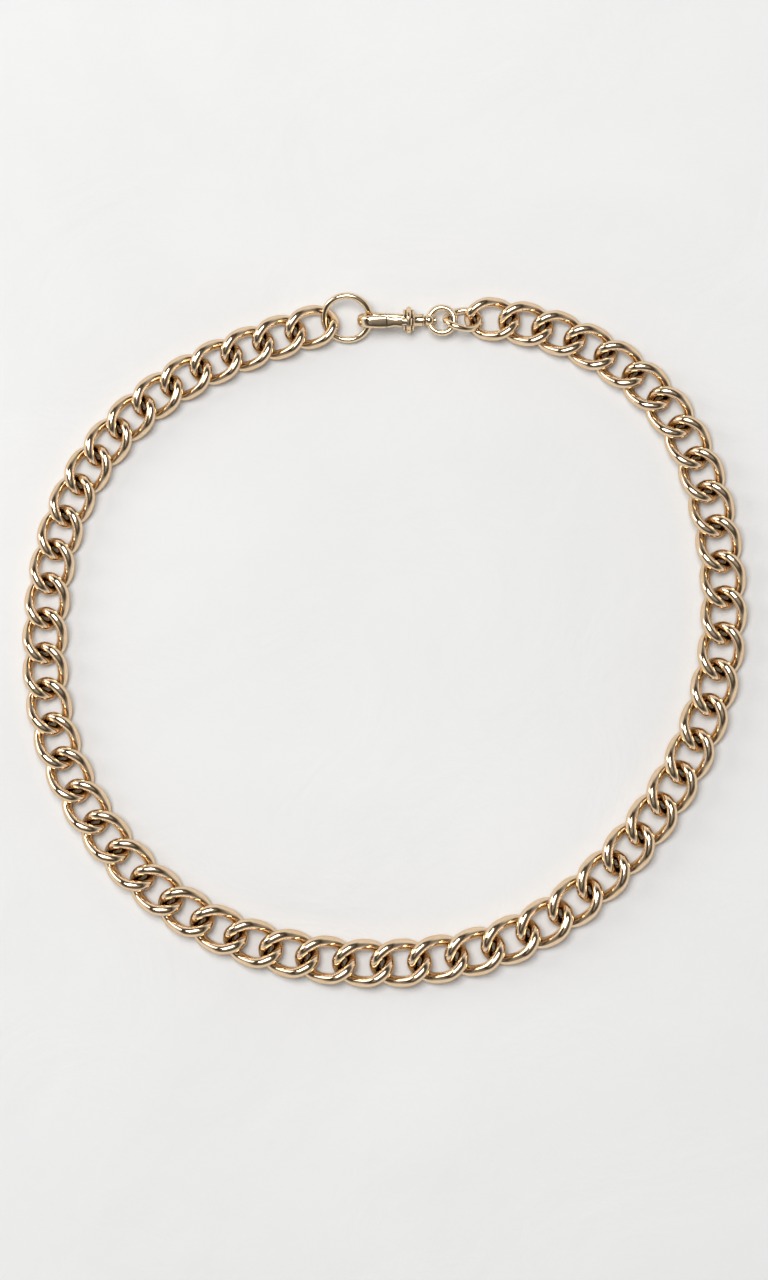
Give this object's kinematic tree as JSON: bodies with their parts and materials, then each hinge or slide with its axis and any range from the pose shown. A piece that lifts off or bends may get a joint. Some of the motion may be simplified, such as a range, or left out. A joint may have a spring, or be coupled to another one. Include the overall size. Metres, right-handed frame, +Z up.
{
  "type": "curb chain necklace",
  "caption": "Graduated curb chain necklace lying in a closed loop, with a round end ring caught in the hook of a swivel clip with a sprung gate.",
  "frame": {"origin": "middle of the bounding box, on the surface that the necklace lies on", "axes": "+Z up out of the lying necklace, +Y towards the clasp, +X to the right when seen from above with the clasp at the top"},
  "size_m": [0.1556, 0.1488, 0.0066],
  "materials": {
    "link_metal": "polished warm gold",
    "clasp_metal": "polished warm gold",
    "spring_steel": "cold-rolled spring strip"
  },
  "bodies": {
    "centre_links": {"curb_links_centre": "link_metal"},
    "link_01": {"curb_link_01": "link_metal"},
    "link_02": {"curb_link_02": "link_metal"},
    "link_03": {"curb_link_03": "link_metal"},
    "link_04": {"curb_link_04": "link_metal"},
    "link_05": {"curb_link_05": "link_metal"},
    "link_06": {"curb_link_06": "link_metal"},
    "link_07": {"curb_link_07": "link_metal"},
    "link_08": {"curb_link_08": "link_metal"},
    "link_09": {"curb_link_09": "link_metal"},
    "link_10": {"curb_link_10": "link_metal"},
    "link_11": {"curb_link_11": "link_metal"},
    "link_12": {"curb_link_12": "link_metal"},
    "link_13": {"curb_link_13": "link_metal"},
    "link_14": {"curb_link_14": "link_metal"},
    "link_15": {"curb_link_15": "link_metal"},
    "link_16": {"curb_link_16": "link_metal"},
    "link_17": {"curb_link_17": "link_metal"},
    "link_18": {"curb_link_18": "link_metal"},
    "link_19": {"curb_link_19": "link_metal"},
    "link_20": {"curb_link_20": "link_metal"},
    "link_21": {"curb_link_21": "link_metal"},
    "link_22": {"curb_link_22": "link_metal"},
    "link_23": {"curb_link_23": "link_metal"},
    "link_24": {"curb_link_24": "link_metal"},
    "link_25": {"curb_link_25": "link_metal"},
    "link_26": {"curb_link_26": "link_metal"},
    "link_27": {"curb_link_27": "link_metal"},
    "link_31": {"curb_link_31": "link_metal"},
    "link_32": {"curb_link_32": "link_metal"},
    "link_33": {"curb_link_33": "link_metal"},
    "link_34": {"curb_link_34": "link_metal"},
    "link_35": {"curb_link_35": "link_metal"},
    "link_36": {"curb_link_36": "link_metal"},
    "link_37": {"curb_link_37": "link_metal"},
    "link_38": {"curb_link_38": "link_metal"},
    "link_39": {"curb_link_39": "link_metal"},
    "link_40": {"curb_link_40": "link_metal"},
    "link_41": {"curb_link_41": "link_metal"},
    "link_42": {"curb_link_42": "link_metal"},
    "link_43": {"curb_link_43": "link_metal"},
    "link_44": {"curb_link_44": "link_metal"},
    "link_45": {"curb_link_45": "link_metal"},
    "link_46": {"curb_link_46": "link_metal"},
    "link_47": {"curb_link_47": "link_metal"},
    "link_48": {"curb_link_48": "link_metal"},
    "link_49": {"curb_link_49": "link_metal"},
    "link_50": {"curb_link_50": "link_metal"},
    "link_51": {"curb_link_51": "link_metal"},
    "link_52": {"curb_link_52": "link_metal"},
    "link_53": {"curb_link_53": "link_metal"},
    "link_54": {"curb_link_54": "link_metal"},
    "link_55": {"curb_link_55": "link_metal"},
    "ring": {"end_ring": "clasp_metal"},
    "small": {"small_link": "clasp_metal"},
    "eye": {"swivel_eye": "clasp_metal"},
    "clip": {"clip_body": "clasp_metal", "gate_pin": "clasp_metal", "gate_spring": "spring_steel"},
    "gate": {"gate_lever": "clasp_metal"}
  },
  "joints": [
    {"name": "loop_shape", "type": "hinge", "parent": "centre_links", "child": "link_27", "pos_m": [-0.00863, -0.06881, 0.00258], "axis": [0, 0, 1], "range_deg": [-3.91, 3.91]},
    {"name": "link_26_hinge", "type": "hinge", "parent": "link_27", "child": "link_26", "pos_m": [-0.01657, -0.06774, 0.00258], "axis": [0, 0, 1], "range_deg": [-3.84, 3.84]},
    {"name": "link_25_hinge", "type": "hinge", "parent": "link_26", "child": "link_25", "pos_m": [-0.02437, -0.06595, 0.00257], "axis": [0, 0, 1], "range_deg": [-4.05, 4.05]},
    {"name": "link_24_hinge", "type": "hinge", "parent": "link_25", "child": "link_24", "pos_m": [-0.03191, -0.06338, 0.00256], "axis": [0, 0, 1], "range_deg": [-4.49, 4.49]},
    {"name": "link_23_hinge", "type": "hinge", "parent": "link_24", "child": "link_23", "pos_m": [-0.03908, -0.05998, 0.00255], "axis": [0, 0, 1], "range_deg": [-5.01, 5.01]},
    {"name": "link_22_hinge", "type": "hinge", "parent": "link_23", "child": "link_22", "pos_m": [-0.04573, -0.05572, 0.00254], "axis": [0, 0, 1], "range_deg": [-5.36, 5.36]},
    {"name": "link_21_hinge", "type": "hinge", "parent": "link_22", "child": "link_21", "pos_m": [-0.05177, -0.05069, 0.00253], "axis": [0, 0, 1], "range_deg": [-0.92, 0.92]},
    {"name": "link_20_hinge", "type": "hinge", "parent": "link_21", "child": "link_20", "pos_m": [-0.05716, -0.04502, 0.00251], "axis": [0, 0, 1], "range_deg": [-1.58, 1.58]},
    {"name": "link_19_hinge", "type": "hinge", "parent": "link_20", "child": "link_19", "pos_m": [-0.06186, -0.03881, 0.0025], "axis": [0, 0, 1], "range_deg": [-2.48, 2.48]},
    {"name": "link_18_hinge", "type": "hinge", "parent": "link_19", "child": "link_18", "pos_m": [-0.06582, -0.03216, 0.00248], "axis": [0, 0, 1], "range_deg": [-3.41, 3.41]},
    {"name": "link_17_hinge", "type": "hinge", "parent": "link_18", "child": "link_17", "pos_m": [-0.06894, -0.02513, 0.00247], "axis": [0, 0, 1], "range_deg": [-4.23, 4.23]},
    {"name": "link_16_hinge", "type": "hinge", "parent": "link_17", "child": "link_16", "pos_m": [-0.07113, -0.0178, 0.00246], "axis": [0, 0, 1], "range_deg": [-4.79, 4.79]},
    {"name": "link_15_hinge", "type": "hinge", "parent": "link_16", "child": "link_15", "pos_m": [-0.07238, -0.0103, 0.00244], "axis": [0, 0, 1], "range_deg": [-5.03, 5.03]},
    {"name": "link_14_hinge", "type": "hinge", "parent": "link_15", "child": "link_14", "pos_m": [-0.07283, -0.00275, 0.00243], "axis": [0, 0, 1], "range_deg": [-4.96, 4.96]},
    {"name": "link_13_hinge", "type": "hinge", "parent": "link_14", "child": "link_13", "pos_m": [-0.07262, 0.00478, 0.00241], "axis": [0, 0, 1], "range_deg": [-4.68, 4.68]},
    {"name": "link_12_hinge", "type": "hinge", "parent": "link_13", "child": "link_12", "pos_m": [-0.07185, 0.01223, 0.0024], "axis": [0, 0, 1], "range_deg": [-4.31, 4.31]},
    {"name": "link_11_hinge", "type": "hinge", "parent": "link_12", "child": "link_11", "pos_m": [-0.07046, 0.01954, 0.00239], "axis": [0, 0, 1], "range_deg": [-3.94, 3.94]},
    {"name": "link_10_hinge", "type": "hinge", "parent": "link_11", "child": "link_10", "pos_m": [-0.0683, 0.02661, 0.00238], "axis": [0, 0, 1], "range_deg": [-3.61, 3.61]},
    {"name": "link_09_hinge", "type": "hinge", "parent": "link_10", "child": "link_09", "pos_m": [-0.06528, 0.03333, 0.00237], "axis": [0, 0, 1], "range_deg": [-3.32, 3.32]},
    {"name": "link_08_hinge", "type": "hinge", "parent": "link_09", "child": "link_08", "pos_m": [-0.06142, 0.03956, 0.00236], "axis": [0, 0, 1], "range_deg": [-3.08, 3.08]},
    {"name": "link_07_hinge", "type": "hinge", "parent": "link_08", "child": "link_07", "pos_m": [-0.0568, 0.04522, 0.00235], "axis": [0, 0, 1], "range_deg": [-2.87, 2.87]},
    {"name": "link_06_hinge", "type": "hinge", "parent": "link_07", "child": "link_06", "pos_m": [-0.05151, 0.05023, 0.00234], "axis": [0, 0, 1], "range_deg": [-3.31, 3.31]},
    {"name": "link_05_hinge", "type": "hinge", "parent": "link_06", "child": "link_05", "pos_m": [-0.04565, 0.05454, 0.00234], "axis": [0, 0, 1], "range_deg": [-4.16, 4.16]},
    {"name": "link_04_hinge", "type": "hinge", "parent": "link_05", "child": "link_04", "pos_m": [-0.03936, 0.05817, 0.00233], "axis": [0, 0, 1], "range_deg": [-5.49, 5.49]},
    {"name": "link_03_hinge", "type": "hinge", "parent": "link_04", "child": "link_03", "pos_m": [-0.03278, 0.06125, 0.00233], "axis": [0, 0, 1], "range_deg": [-7, 7]},
    {"name": "link_02_hinge", "type": "hinge", "parent": "link_03", "child": "link_02", "pos_m": [-0.02601, 0.06389, 0.00233], "axis": [0, 0, 1], "range_deg": [-3.37, 3.37]},
    {"name": "link_01_hinge", "type": "hinge", "parent": "link_02", "child": "link_01", "pos_m": [-0.01913, 0.0662, 0.00233], "axis": [0, 0, 1], "range_deg": [-3.7, 3.7]},
    {"name": "link_31_hinge", "type": "hinge", "parent": "centre_links", "child": "link_31", "pos_m": [0.01541, -0.06754, 0.00259], "axis": [0, 0, 1], "range_deg": [-4.54, 4.54]},
    {"name": "link_32_hinge", "type": "hinge", "parent": "link_31", "child": "link_32", "pos_m": [0.02319, -0.06549, 0.00259], "axis": [0, 0, 1], "range_deg": [-4.89, 4.89]},
    {"name": "link_33_hinge", "type": "hinge", "parent": "link_32", "child": "link_33", "pos_m": [0.03063, -0.06244, 0.00259], "axis": [0, 0, 1], "range_deg": [-5.39, 5.39]},
    {"name": "link_34_hinge", "type": "hinge", "parent": "link_33", "child": "link_34", "pos_m": [0.03753, -0.05834, 0.00259], "axis": [0, 0, 1], "range_deg": [-5.73, 5.73]},
    {"name": "link_35_hinge", "type": "hinge", "parent": "link_34", "child": "link_35", "pos_m": [0.04381, -0.05333, 0.00258], "axis": [0, 0, 1], "range_deg": [-5.49, 5.49]},
    {"name": "link_36_hinge", "type": "hinge", "parent": "link_35", "child": "link_36", "pos_m": [0.0495, -0.04768, 0.00258], "axis": [0, 0, 1], "range_deg": [-1.67, 1.67]},
    {"name": "link_37_hinge", "type": "hinge", "parent": "link_36", "child": "link_37", "pos_m": [0.05468, -0.04159, 0.00257], "axis": [0, 0, 1], "range_deg": [-2.81, 2.81]},
    {"name": "link_38_hinge", "type": "hinge", "parent": "link_37", "child": "link_38", "pos_m": [0.05935, -0.03513, 0.00256], "axis": [0, 0, 1], "range_deg": [-3.71, 3.71]},
    {"name": "link_39_hinge", "type": "hinge", "parent": "link_38", "child": "link_39", "pos_m": [0.06343, -0.02831, 0.00255], "axis": [0, 0, 1], "range_deg": [-4.29, 4.29]},
    {"name": "link_40_hinge", "type": "hinge", "parent": "link_39", "child": "link_40", "pos_m": [0.06683, -0.02117, 0.00254], "axis": [0, 0, 1], "range_deg": [-4.54, 4.54]},
    {"name": "link_41_hinge", "type": "hinge", "parent": "link_40", "child": "link_41", "pos_m": [0.06948, -0.01376, 0.00253], "axis": [0, 0, 1], "range_deg": [-4.54, 4.54]},
    {"name": "link_42_hinge", "type": "hinge", "parent": "link_41", "child": "link_42", "pos_m": [0.07136, -0.00616, 0.00251], "axis": [0, 0, 1], "range_deg": [-4.36, 4.36]},
    {"name": "link_43_hinge", "type": "hinge", "parent": "link_42", "child": "link_43", "pos_m": [0.07241, 0.00155, 0.0025], "axis": [0, 0, 1], "range_deg": [-4.11, 4.11]},
    {"name": "link_44_hinge", "type": "hinge", "parent": "link_43", "child": "link_44", "pos_m": [0.07264, 0.00929, 0.00248], "axis": [0, 0, 1], "range_deg": [-3.84, 3.84]},
    {"name": "link_45_hinge", "type": "hinge", "parent": "link_44", "child": "link_45", "pos_m": [0.07211, 0.01698, 0.00247], "axis": [0, 0, 1], "range_deg": [-3.61, 3.61]},
    {"name": "link_46_hinge", "type": "hinge", "parent": "link_45", "child": "link_46", "pos_m": [0.07092, 0.02454, 0.00246], "axis": [0, 0, 1], "range_deg": [-3.46, 3.46]},
    {"name": "link_47_hinge", "type": "hinge", "parent": "link_46", "child": "link_47", "pos_m": [0.06912, 0.03194, 0.00244], "axis": [0, 0, 1], "range_deg": [-3.41, 3.41]},
    {"name": "link_48_hinge", "type": "hinge", "parent": "link_47", "child": "link_48", "pos_m": [0.06661, 0.03907, 0.00243], "axis": [0, 0, 1], "range_deg": [-3.47, 3.47]},
    {"name": "link_49_hinge", "type": "hinge", "parent": "link_48", "child": "link_49", "pos_m": [0.06318, 0.04575, 0.00241], "axis": [0, 0, 1], "range_deg": [-3.53, 3.53]},
    {"name": "link_50_hinge", "type": "hinge", "parent": "link_49", "child": "link_50", "pos_m": [0.05873, 0.05173, 0.0024], "axis": [0, 0, 1], "range_deg": [-3.4, 3.4]},
    {"name": "link_51_hinge", "type": "hinge", "parent": "link_50", "child": "link_51", "pos_m": [0.05335, 0.05684, 0.00239], "axis": [0, 0, 1], "range_deg": [-3.1, 3.1]},
    {"name": "link_52_hinge", "type": "hinge", "parent": "link_51", "child": "link_52", "pos_m": [0.04729, 0.06107, 0.00238], "axis": [0, 0, 1], "range_deg": [-4.4, 4.4]},
    {"name": "link_53_hinge", "type": "hinge", "parent": "link_52", "child": "link_53", "pos_m": [0.04073, 0.06442, 0.00237], "axis": [0, 0, 1], "range_deg": [-6.09, 6.09]},
    {"name": "link_54_hinge", "type": "hinge", "parent": "link_53", "child": "link_54", "pos_m": [0.03383, 0.0669, 0.00236], "axis": [0, 0, 1], "range_deg": [-3.12, 3.12]},
    {"name": "link_55_hinge", "type": "hinge", "parent": "link_54", "child": "link_55", "pos_m": [0.02669, 0.06846, 0.00235], "axis": [0, 0, 1], "range_deg": [-3.57, 3.57]},
    {"name": "small_link_hinge", "type": "hinge", "parent": "link_55", "child": "small", "pos_m": [0.01919, 0.06888, 0.00251], "axis": [0, 0, 1], "range_deg": [-3.91, 3.91]},
    {"name": "eye_hinge", "type": "hinge", "parent": "small", "child": "eye", "pos_m": [0.01397, 0.06872, 0.00296], "axis": [0, 0, 1], "range_deg": [-4.04, 4.04]},
    {"name": "ring_roll", "type": "hinge", "parent": "link_01", "child": "ring", "pos_m": [-0.01279, 0.06814, 0.00234], "axis": [0.994, 0.0546, 0.0946], "range_deg": [-4, 4]},
    {"name": "swivel", "type": "hinge", "parent": "eye", "child": "clip", "pos_m": [0.00955, 0.06867, 0.00325], "axis": [1, 0, 0], "range_deg": [-8, 12]},
    {"name": "gate_hinge", "type": "hinge", "parent": "clip", "child": "gate", "pos_m": [0.0051, 0.06827, 0.00516], "axis": [0, -0.9781, -0.2079], "range_deg": [0, 22], "stiffness_Nm_per_rad": 0.002, "springref_deg": -20.05, "deforming": ["gate_spring"]}
  ],
  "couplings": [
    {"joint": "link_26_hinge", "follows": "loop_shape", "ratio": 0.983},
    {"joint": "link_25_hinge", "follows": "loop_shape", "ratio": 1.036},
    {"joint": "link_24_hinge", "follows": "loop_shape", "ratio": 1.147},
    {"joint": "link_23_hinge", "follows": "loop_shape", "ratio": 1.282},
    {"joint": "link_22_hinge", "follows": "loop_shape", "ratio": 1.37},
    {"joint": "link_21_hinge", "follows": "loop_shape", "ratio": -0.234},
    {"joint": "link_20_hinge", "follows": "loop_shape", "ratio": -0.405},
    {"joint": "link_19_hinge", "follows": "loop_shape", "ratio": -0.634},
    {"joint": "link_18_hinge", "follows": "loop_shape", "ratio": -0.873},
    {"joint": "link_17_hinge", "follows": "loop_shape", "ratio": -1.081},
    {"joint": "link_16_hinge", "follows": "loop_shape", "ratio": -1.224},
    {"joint": "link_15_hinge", "follows": "loop_shape", "ratio": -1.285},
    {"joint": "link_14_hinge", "follows": "loop_shape", "ratio": -1.268},
    {"joint": "link_13_hinge", "follows": "loop_shape", "ratio": -1.197},
    {"joint": "link_12_hinge", "follows": "loop_shape", "ratio": -1.103},
    {"joint": "link_11_hinge", "follows": "loop_shape", "ratio": -1.008},
    {"joint": "link_10_hinge", "follows": "loop_shape", "ratio": -0.924},
    {"joint": "link_09_hinge", "follows": "loop_shape", "ratio": -0.85},
    {"joint": "link_08_hinge", "follows": "loop_shape", "ratio": -0.787},
    {"joint": "link_07_hinge", "follows": "loop_shape", "ratio": -0.734},
    {"joint": "link_06_hinge", "follows": "loop_shape", "ratio": 0.846},
    {"joint": "link_05_hinge", "follows": "loop_shape", "ratio": 1.064},
    {"joint": "link_04_hinge", "follows": "loop_shape", "ratio": 1.404},
    {"joint": "link_03_hinge", "follows": "loop_shape", "ratio": 1.789},
    {"joint": "link_02_hinge", "follows": "loop_shape", "ratio": 0.861},
    {"joint": "link_01_hinge", "follows": "loop_shape", "ratio": 0.945},
    {"joint": "link_31_hinge", "follows": "loop_shape", "ratio": -1.16},
    {"joint": "link_32_hinge", "follows": "loop_shape", "ratio": -1.251},
    {"joint": "link_33_hinge", "follows": "loop_shape", "ratio": -1.379},
    {"joint": "link_34_hinge", "follows": "loop_shape", "ratio": -1.466},
    {"joint": "link_35_hinge", "follows": "loop_shape", "ratio": -1.404},
    {"joint": "link_36_hinge", "follows": "loop_shape", "ratio": 0.428},
    {"joint": "link_37_hinge", "follows": "loop_shape", "ratio": 0.719},
    {"joint": "link_38_hinge", "follows": "loop_shape", "ratio": 0.949},
    {"joint": "link_39_hinge", "follows": "loop_shape", "ratio": 1.097},
    {"joint": "link_40_hinge", "follows": "loop_shape", "ratio": 1.161},
    {"joint": "link_41_hinge", "follows": "loop_shape", "ratio": 1.16},
    {"joint": "link_42_hinge", "follows": "loop_shape", "ratio": 1.115},
    {"joint": "link_43_hinge", "follows": "loop_shape", "ratio": 1.05},
    {"joint": "link_44_hinge", "follows": "loop_shape", "ratio": 0.982},
    {"joint": "link_45_hinge", "follows": "loop_shape", "ratio": 0.923},
    {"joint": "link_46_hinge", "follows": "loop_shape", "ratio": 0.884},
    {"joint": "link_47_hinge", "follows": "loop_shape", "ratio": 0.873},
    {"joint": "link_48_hinge", "follows": "loop_shape", "ratio": 0.888},
    {"joint": "link_49_hinge", "follows": "loop_shape", "ratio": 0.902},
    {"joint": "link_50_hinge", "follows": "loop_shape", "ratio": 0.869},
    {"joint": "link_51_hinge", "follows": "loop_shape", "ratio": -0.794},
    {"joint": "link_52_hinge", "follows": "loop_shape", "ratio": -1.126},
    {"joint": "link_53_hinge", "follows": "loop_shape", "ratio": -1.557},
    {"joint": "link_54_hinge", "follows": "loop_shape", "ratio": -0.797},
    {"joint": "link_55_hinge", "follows": "loop_shape", "ratio": -0.912},
    {"joint": "small_link_hinge", "follows": "loop_shape", "ratio": -0.999},
    {"joint": "eye_hinge", "follows": "loop_shape", "ratio": -1.032}
  ]
}
